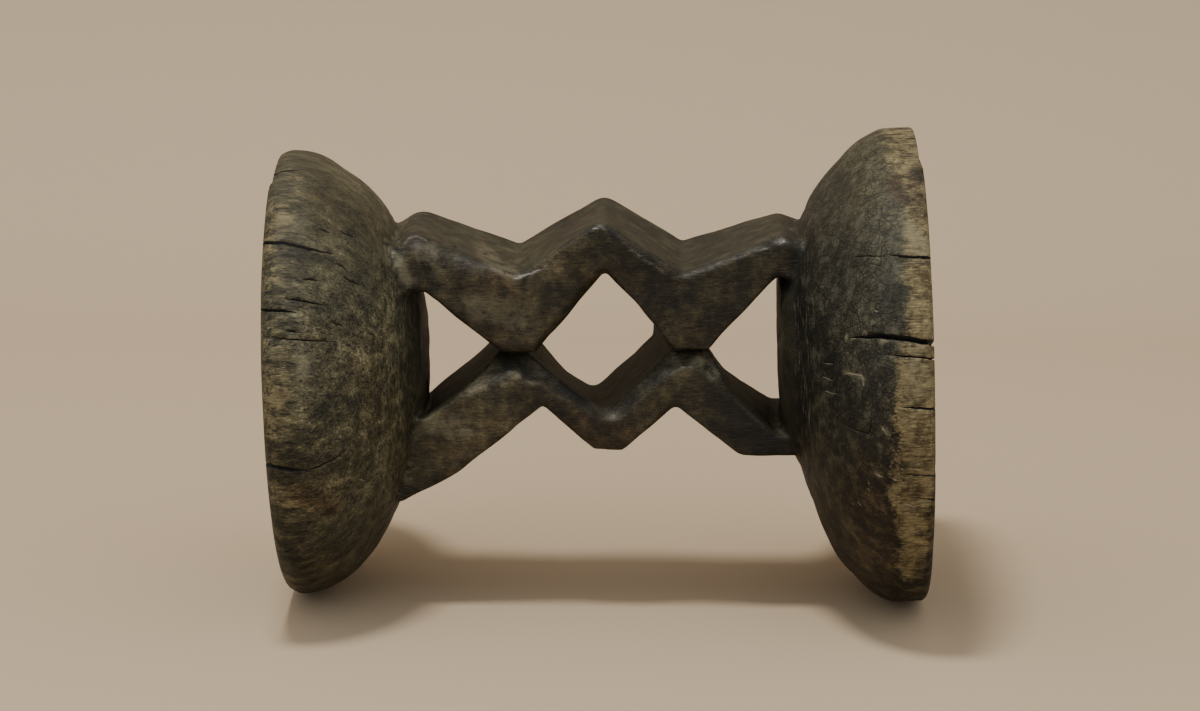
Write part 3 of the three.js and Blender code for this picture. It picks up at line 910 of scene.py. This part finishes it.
def wood_masks(mesh):
    """Writes how bare, polished, dark and crusted the wood is at each vertex, and where painted glints, sheen
    and shade go.
    """
    (x, y, z), (nx, ny, nz) = places_and_normals(mesh)
    ridge, hollow = (read(mesh.attributes[name].data, "value") for name in ("ridge", "hollow"))
    facing = ease(nx * FACING[0] + ny * FACING[1], 0.0, 0.3)
    r = np.hypot(x - middle_at(z), y)
    legs = (r < LEG_REACH) * ease(z, 62, 74) * fade(z, 262, 276) * ease(LEG_REACH - r, 0, 6)
    on_base = (z < BASE_TOP) * (1 - legs)
    on_seat = (z > SEAT_BOTTOM) * (1 - legs)

    def uneven(size, seed):
        return noise(x, y, z, size, seed)

    def marked(marks):
        return mark_mask(x, y, z, facing, marks)

    # bare fibrous wood on the rims
    edge = at_place(BARE_EDGES, x) + 2.0 * uneven(30.0, 71) + 1.5 * uneven(6.0, 72)
    bare = (z < 60) * ease(r, 92, 102) * fade(z, edge - 8, edge + 8) * (0.80 + 0.16 * uneven(18.0, 78))
    bare = bare * (1 - 0.55 * ease(-x, 70, 118)) * (1 - 0.24 * ease(x, 70, 115))
    bare = bare * (1 - 0.55 * fade(z, 2, 6) * ease(-x, 20, 60))
    seat_edge = 325 - 5 * uneven(22.0, 73)
    seat_bare = 0.37 + 0.06 * ease(x, -30, 20) - 0.06 * ease(x, 50, 90) - 0.06 * ease(-x, 50, 100)
    seat_bare = seat_bare * ease(z, seat_edge - 8, seat_edge + 4)
    seat_bare = np.maximum(seat_bare, 0.14 * ease(z, 262, 300)) * ease(r, 80, 108)
    bare = np.maximum(bare, seat_bare + 0.16 * uneven(20.0, 79) * (seat_bare > 0))

    # polished edges and bevels of the legs: worn wood with painted glints and a painted sheen
    bevel = (1 - ease(np.abs(ny + 0.70), 0, 0.22)) * legs * (y < -24)
    (right, _, right_turns, *_), (left, _, left_turns, *_) = RIGHT_LEG, LEFT_LEG
    upper = x > 0.5 * (side_line(right[right_turns:], z) + side_line(left[:left_turns], z))
    patchy = ease(uneven((8.0, 8.0, 14.0), 74), -0.35, 0.35)
    wear_and_glint = 0.34 * np.maximum(ridge * legs, 0.6 * bevel) * (0.3 + 0.7 * patchy)
    wear_and_glint = np.maximum(wear_and_glint, 0.3 * ridge * (on_seat + on_base) * ease(r, 60, 70))
    wear_and_glint = np.maximum(wear_and_glint, marked(POLISH_AND_GLINT_MARKS))
    gloss = np.maximum(wear_and_glint, 0.7 * np.maximum(bevel, ridge * legs))
    gloss = np.maximum(gloss, 0.35 * on_seat * patchy * (1 - bare))

    # how light the patina is, with painted shade round the legs' roots, and how far it is olive rather than
    # brown
    level = ease(np.abs(ny), 0.5, 0.85)
    on_top = (1 - level) * upper * (nx > 0)
    inner = (1 - level) * legs * (1 - on_top)
    rim_zone = on_base * ease(r, 94, 106) * fade(z, 34, 46)
    # the discs are darker round the legs' roots: painted shade where the legs meet them
    seat_tone = at_place(SEAT_TONES, x) - 0.05 * fade(r, 52, 74)
    base_tone = at_place(BASE_TONES, x) - 0.26 * fade(r, 62, 88)
    front = np.where(upper, at_place(UPPER_LEG_TONES, z), at_place(LOWER_LEG_TONES, z))
    leg_tone = level * front + (1 - level) * np.where(upper * (nx > 0), LEG_TOP_TONE, LEG_INNER_TONE)
    tone = on_seat * seat_tone + on_base * base_tone + legs * leg_tone
    tone = tone + 0.06 * uneven(34.0, 75) + 0.06 * uneven(13.0, 76)
    tone = tone + (0.06 + 0.14 * ease(x, -20, 30)) * rim_zone
    olive = on_seat * (0.95 - 0.5 * ease(-x, 50, 110)) + on_base * (1.05 - 0.8 * ease(-x, -20, 70))
    olive = olive + legs * (0.46 + 0.54 * (1 - level))
    olive = olive + 0.30 * uneven(28.0, 77) - marked(RED_MARKS) - 0.4 * rim_zone * fade(x, -20, 30)
    mottle = on_seat * at_place(SEAT_MOTTLE, x) + on_base * at_place(BASE_MOTTLE, x)
    mottle = mottle + legs * (LEG_MOTTLE - 0.45 * on_top - 0.6 * inner)

    masks = dict(
        bare=bare, wear_and_glint=wear_and_glint, gloss=gloss, tone=tone, olive=olive, pale=marked(PALE_MARKS),
        mottle=mottle * (1 - 0.5 * on_seat * ease(nz, 0.5, 0.9)),
        crust=on_base * (1 - bare) * (0.35 + 0.65 * facing) * ease(r, 62, 84) * ease(x, -60, 20),
        scrape=(on_seat + on_base) * (1 - bare) * fade(r, 66, 96) * ease(r, 40, 52),
        rough=0.60 + 0.25 * bare + 0.12 * inner,
        # patina in the hollows, dark knots and stains, and painted shade from the shade marks
        dark=np.maximum(marked(DARK_AND_SHADE_MARKS), 0.75 * hollow * (1 - bare)),
        lumpy=on_base + 0.7 * legs,
        streak=1 - 0.5 * legs,
    )
    for name, values in masks.items():
        keep(mesh, name, np.clip(values, 0, 1))


# Materials

class Shading:
    """A small helper that adds nodes to a material and joins them."""

    def __init__(self, name):
        self.material = bpy.data.materials.new(name)
        self.material.use_nodes = True
        self.tree = self.material.node_tree
        self.shader = self.tree.nodes["Principled BSDF"]

    def put(self, socket, value):
        if isinstance(value, bpy.types.NodeSocket):
            self.tree.links.new(value, socket)
        else:
            socket.default_value = value

    def fill(self, node, **inputs):
        """Sets or joins inputs, whose names have _ for a space."""
        for key, value in inputs.items():
            self.put(node.inputs[key.replace("_", " ")], value)
        return node

    def add(self, kind, settings=None, **inputs):
        node = self.tree.nodes.new(kind)
        for key, value in (settings or {}).items():
            setattr(node, key, value)
        return self.fill(node, **inputs)

    def mask(self, name):
        return self.add("ShaderNodeAttribute", {"attribute_name": name}).outputs["Fac"]

    def stretched(self, vector, along):
        """Places in millimetres, drawn out along the grain where along is under 1."""
        scale = (PER_MM, PER_MM, PER_MM * along)
        return self.add("ShaderNodeMapping", Vector=vector, Scale=scale).outputs["Vector"]

    def noise(self, vector, scale, detail, roughness, distortion=0.0):
        return self.add("ShaderNodeTexNoise", Vector=vector, Scale=scale, Detail=detail,
                        Roughness=roughness, Distortion=distortion).outputs["Fac"]

    def math(self, operation, *values, clamp=False):
        node = self.add("ShaderNodeMath", {"operation": operation, "use_clamp": clamp})
        for socket, value in zip(node.inputs, values):
            self.put(socket, value)
        return node.outputs["Value"]

    def times(self, a, b):
        return self.math("MULTIPLY", a, b, clamp=True)

    def less(self, a, b):
        return self.math("SUBTRACT", a, b, clamp=True)

    def total(self, first, *others):
        for other in others:
            first = self.math("ADD", first, other)
        return first

    def sway(self, value, amount):
        """A noise turned into a change around 0."""
        return self.math("MULTIPLY_ADD", value, amount, -0.5 * amount)

    def spread(self, value, low, high):
        """0 at low, 1 at high, and clamped."""
        return self.add("ShaderNodeMapRange", {"interpolation_type": "SMOOTHSTEP"}, Value=value,
                        From_Min=low, From_Max=high).outputs["Result"]

    def within(self, mask, value, low, high):
        """A mask, kept only where a value is nearer to high than to low."""
        return self.times(mask, self.spread(value, low, high))

    def mixed(self, kind, first, amount, a, b):
        node = self.add("ShaderNodeMix", {"data_type": kind}, Factor=amount)
        self.put(node.inputs[first], a)
        self.put(node.inputs[first + 1], b)
        return node.outputs

    def blend(self, amount, a, b):
        return self.mixed("FLOAT", 2, amount, a, b)[0]

    def mix(self, amount, a, b):
        """The same for colours."""
        return self.mixed("RGBA", 6, amount, a, b)[2]

    def coat(self, colour, over, mask, strength):
        """Lays one colour over another where a mask says."""
        return self.mix(self.times(mask, strength), colour, over)

    def ramp(self, value, stops):
        """A colour for each level of a value."""
        node = self.add("ShaderNodeValToRGB", Fac=value)
        ends = node.color_ramp.elements
        for end, (level, colour) in zip((ends[0], ends[1]), (stops[0], stops[-1])):
            end.position = level
            end.color = colour
        for level, colour in stops[1:-1]:
            ends.new(level).color = colour
        return node.outputs["Color"]

    def around_legs(self, metres):
        """Texture places that run in rings round the legs: radius, angle and height."""
        apart = self.add("ShaderNodeSeparateXYZ", Vector=metres).outputs
        x, y = self.math("SUBTRACT", apart["X"], CORE_SHIFT * MM), apart["Y"]
        square = self.math("ADD", self.math("MULTIPLY", x, x), self.math("MULTIPLY", y, y))
        return self.add("ShaderNodeCombineXYZ", X=self.math("MULTIPLY", self.math("SQRT", square), PER_MM),
                        Y=self.math("MULTIPLY", self.math("ARCTAN2", y, x), 7.0),
                        Z=self.math("MULTIPLY", apart["Z"], PER_MM * 0.3)).outputs["Vector"]


# Colours of the wood, linear
BROWN_PATINA = (
    (0.00, (0.0040, 0.0028, 0.0012, 1)),
    (0.30, (0.0185, 0.0122, 0.0050, 1)),
    (0.60, (0.0510, 0.0345, 0.0150, 1)),
    (0.85, (0.1050, 0.0740, 0.0350, 1)),
    (1.00, (0.2000, 0.1500, 0.0800, 1)),
)
OLIVE_PATINA = (
    (0.00, (0.0038, 0.0037, 0.0020, 1)),
    (0.30, (0.0180, 0.0170, 0.0092, 1)),
    (0.60, (0.0500, 0.0460, 0.0245, 1)),
    (0.85, (0.1050, 0.0960, 0.0540, 1)),
    (1.00, (0.2000, 0.1830, 0.1100, 1)),
)
# Near black, for dark grain and patina, and for painted shade in the legs' corners
PATINA_AND_SHADE_BLACK = (0.0055, 0.0048, 0.0036, 1)
GOLDEN_PATINA = (0.140, 0.112, 0.052, 1)
TAN = (0.168, 0.138, 0.070, 1)
TAN_BRIGHT = (0.320, 0.266, 0.136, 1)
TAN_DARK = (0.062, 0.044, 0.020, 1)
TAN_BLACK = (0.018, 0.013, 0.007, 1)
# Pale grey for the crust's flecks and a painted sheen on polished edges, then the painted glints' grey
PALE_GREY_AND_SHEEN = (0.185, 0.180, 0.160, 1)
GLINT_GREY = (0.300, 0.300, 0.285, 1)
PEBBLE_GREY = (0.053, 0.058, 0.049, 1)
# Near black: dirt in the crust's crazing and in the cracks, with painted shade inside the cracks
DIRT_AND_SHADE_BLACK = (0.005, 0.0045, 0.0035, 1)
PALE_WOOD = (0.210, 0.178, 0.112, 1)
PALE_PATINA = (0.182, 0.170, 0.108, 1)

PER_MM = 1000.0  # texture scales below are per millimetre
BUMP_DEPTH = 0.0008
GLOSSY = 0.22  # roughness of polished wood
WOOD_SPECULAR = 0.27
DRY = 0.9
FRESH = 0.7


def wood_material():
    """Old handled wood: dark patina, bare fibrous rims, polished edges with painted glints and sheen, painted
    shade in corners, and crazed crust.
    """
    s = Shading("old_carved_wood")
    metres = s.add("ShaderNodeTexCoord").outputs["Object"]
    place, drawn, short, along = (s.stretched(metres, part) for part in (1.0, 0.36, 0.22, 0.07))
    fibre = s.noise(along, 1.25, 3.0, 0.60)
    dash = s.noise(short, 0.62, 2.0, 0.50)
    fleck = s.noise(short, 1.15, 3.0, 0.62)
    cloud = s.noise(place, 0.040, 5.0, 0.60)
    patch = s.blend(s.mask("lumpy"), s.noise(drawn, 0.15, 8.0, 0.72, 0.15), s.noise(place, 0.13, 8.0, 0.67))
    grit = s.noise(place, 1.0, 3.0, 0.70)
    cells = s.add("ShaderNodeTexVoronoi", {"feature": "DISTANCE_TO_EDGE"}, Vector=place, Scale=0.19)
    scratch = s.noise(s.around_legs(metres), 0.95, 3.0, 0.6)

    # the dark patina, with strokes and flecks along the grain
    mottle, streak = s.mask("mottle"), s.mask("streak")
    change = s.total(s.sway(cloud, 0.9), s.sway(patch, 1.9), s.math("MULTIPLY", s.sway(fleck, 1.3), streak),
                     s.sway(grit, 0.7))
    shade = s.total(s.mask("tone"), s.math("MULTIPLY", change, mottle))
    colour = s.mix(s.mask("olive"), s.ramp(shade, BROWN_PATINA), s.ramp(shade, OLIVE_PATINA))
    streaked = s.times(mottle, streak)
    strokes = s.times(s.within(s.spread(dash, 0.55, 0.62), patch, 0.58, 0.48), streaked)
    colour = s.coat(colour, PATINA_AND_SHADE_BLACK, strokes, 0.75)
    flecks = s.times(s.within(s.spread(dash, 0.42, 0.34), patch, 0.48, 0.60), streaked)
    colour = s.coat(colour, GOLDEN_PATINA, flecks, 0.25)

    # scrapes round the legs' roots, and the crust on the base
    scrape, crust = s.mask("scrape"), s.mask("crust")
    colour = s.coat(colour, PALE_PATINA, s.within(scrape, scratch, 0.56, 0.70), 0.55)
    colour = s.coat(colour, PATINA_AND_SHADE_BLACK, s.within(scrape, scratch, 0.46, 0.34), 0.7)
    colour = s.coat(colour, PEBBLE_GREY, s.within(crust, patch, 0.48, 0.66), 0.42)
    colour = s.coat(colour, PALE_GREY_AND_SHEEN, s.within(crust, grit, 0.62, 0.72), 0.5)
    crazing = s.within(s.within(crust, cells.outputs["Distance"], 0.07, 0.0), cloud, 0.38, 0.52)
    colour = s.coat(colour, DIRT_AND_SHADE_BLACK, crazing, 0.75)

    # bare wood
    tan = s.mix(s.spread(patch, 0.38, 0.60), TAN_DARK, TAN)
    tan = s.coat(tan, TAN_BRIGHT, s.spread(fleck, 0.52, 0.68), 0.7)
    tan = s.coat(tan, TAN_BLACK, s.spread(fibre, 0.49, 0.38), 0.60)
    tan = s.coat(tan, TAN_BLACK, s.spread(dash, 0.58, 0.70), 0.45)
    bare = s.mask("bare")
    covered = s.total(bare, s.sway(patch, 1.6), s.sway(fleck, 0.5))
    colour = s.mix(s.within(s.spread(covered, 0.26, 0.68), bare, 0.04, 0.70), colour, tan)

    # painted sheen and painted glints on the polished edges, then the pale and dark marks
    wear_and_glint = s.mask("wear_and_glint")
    colour = s.coat(colour, PALE_GREY_AND_SHEEN, s.within(s.spread(wear_and_glint, 0.0, 1.0), fleck, 0.36, 0.54), 0.55)
    glint = s.spread(s.total(wear_and_glint, s.sway(fleck, 0.8)), 0.55, 0.85)
    colour = s.coat(colour, GLINT_GREY, glint, 0.75)
    colour = s.mix(s.within(s.mask("pale"), patch, 0.38, 0.54), colour, PALE_PATINA)
    # dark marks: patina in the hollows, knots and stains, and painted shade in the legs' corners
    colour = s.mix(s.mask("dark"), colour, PATINA_AND_SHADE_BLACK)

    rough = s.blend(s.within(s.mask("gloss"), patch, 0.38, 0.54), s.mask("rough"), GLOSSY)
    rough = s.math("ADD", rough, s.times(s.less(grit, 0.5), 0.4), clamp=True)
    height = s.blend(s.times(scrape, 0.5), s.blend(0.5, fibre, grit), scratch)
    height = s.less(s.less(height, s.times(crazing, 0.5)), s.times(strokes, 0.6))
    height = s.times(height, s.blend(bare, 1.0, 0.5))
    bump = s.add("ShaderNodeBump", Height=height, Strength=0.6, Distance=BUMP_DEPTH)
    s.fill(s.shader, Base_Color=colour, Roughness=rough, Specular_IOR_Level=WOOD_SPECULAR,
           Normal=bump.outputs["Normal"])
    return s.material


def plain_material(name, colour, roughness):
    s = Shading(name)
    s.fill(s.shader, Base_Color=colour, Roughness=roughness)
    return s.material


# The stage: the pale floor that the stool's rims lie on, curving up behind it

FLOOR_COLOUR = (0.44, 0.35, 0.245, 1)
FLOOR_SPECULAR = 0.1
FLOOR_HALF_LENGTH = 4000.0
FLOOR_FRONT = 1800.0
FLOOR_BACK = 620.0
CURVE_RADIUS = 350.0
WALL_HEIGHT = 3200.0


def floor_material():
    """Matt from the front and see-through from behind, so that it never hides the stool."""
    s = Shading("floor_matt")
    s.fill(s.shader, Base_Color=FLOOR_COLOUR, Roughness=DRY, Specular_IOR_Level=FLOOR_SPECULAR)
    both = s.add("ShaderNodeMixShader", Fac=s.add("ShaderNodeNewGeometry").outputs["Backfacing"])
    s.put(both.inputs[1], s.shader.outputs["BSDF"])
    s.put(both.inputs[2], s.add("ShaderNodeBsdfTransparent").outputs["BSDF"])
    s.put(s.tree.nodes["Material Output"].inputs["Surface"], both.outputs["Shader"])
    return s.material


def backdrop():
    """A floor along the plane that touches both rims, with a wall behind joined by a curve."""
    low = Vector((-BASE_RADIUS, 0, BASE_RIM_HEIGHT))
    high = Vector((SEAT_SHIFT - SEAT_RADIUS - SEAT_SPARE, 0, SEAT_DOME_CENTRE))
    length = (high - low).normalized()
    upward = Vector((length.z, 0, -length.x))
    curve = [(FLOOR_BACK + CURVE_RADIUS * sine, CURVE_RADIUS * (1 - cosine))
             for cosine, sine in quarter_turn(ARC_STEPS)]
    outline = [(-FLOOR_FRONT, 0.0), *curve, (FLOOR_BACK + CURVE_RADIUS, WALL_HEIGHT)]
    points = [(low + Vector((0, y, 0)) + upward * up + length * end * FLOOR_HALF_LENGTH) * MM
              for y, up in outline for end in (-1, 1)]
    faces = [(2 * i, 2 * i + 1, 2 * i + 3, 2 * i + 2) for i in range(len(outline) - 1)]
    mesh = bpy.data.meshes.new("backdrop")
    mesh.from_pydata(points, [], faces)
    mesh.polygons.foreach_set("use_smooth", [True] * len(faces))
    mesh.update()
    if mesh.polygons[0].normal.x < 0:
        mesh.flip_normals()
    mesh.materials.append(floor_material())
    link(bpy.data.objects.new("backdrop", mesh))


# Light: one soft lamp above the picture, a little to the left and the front, and a plain sky

KEY_POWER = 46.0
KEY_SIZE = 0.42
KEY_PLACE = Vector((2.35, -0.30, 0.40))
KEY_COLOUR = (1.0, 0.955, 0.89)
FILL_STRENGTH = 1.0
FILL_COLOUR = (0.98, 0.97, 0.955, 1)


def studio_light():
    lamp = bpy.data.lights.new("key", "AREA")
    lamp.shape = "DISK"
    lamp.size = KEY_SIZE
    lamp.energy = KEY_POWER
    lamp.color = KEY_COLOUR
    key = link(bpy.data.objects.new("key", lamp))
    key.location = KEY_PLACE
    key.rotation_mode = "QUATERNION"
    key.rotation_quaternion = (KEY_PLACE - CAMERA_AIM * MM).to_track_quat("Z", "Y")
    world = bpy.data.worlds.new("fill")
    world.use_nodes = True
    background = world.node_tree.nodes["Background"]
    background.inputs["Color"].default_value = FILL_COLOUR
    background.inputs["Strength"].default_value = FILL_STRENGTH
    bpy.context.scene.world = world


def finish_stool():
    stool = carved_stool()
    stool.data.materials.append(wood_material())
    measure_bend(stool.data)
    # The cracks' insides are near black: dirt and painted shade
    weather(stool, plain_material("crack_dark", DIRT_AND_SHADE_BLACK, DRY), plain_material("fresh_scratch", PALE_WOOD, FRESH))
    wood_masks(stool.data)
    stool.data.polygons.foreach_set("use_smooth", [True] * len(stool.data.polygons))
    stool.name = "stool_wood"
    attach(stool, "root")
    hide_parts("stool")


photo_camera()
studio_light()
backdrop()
finish_stool()
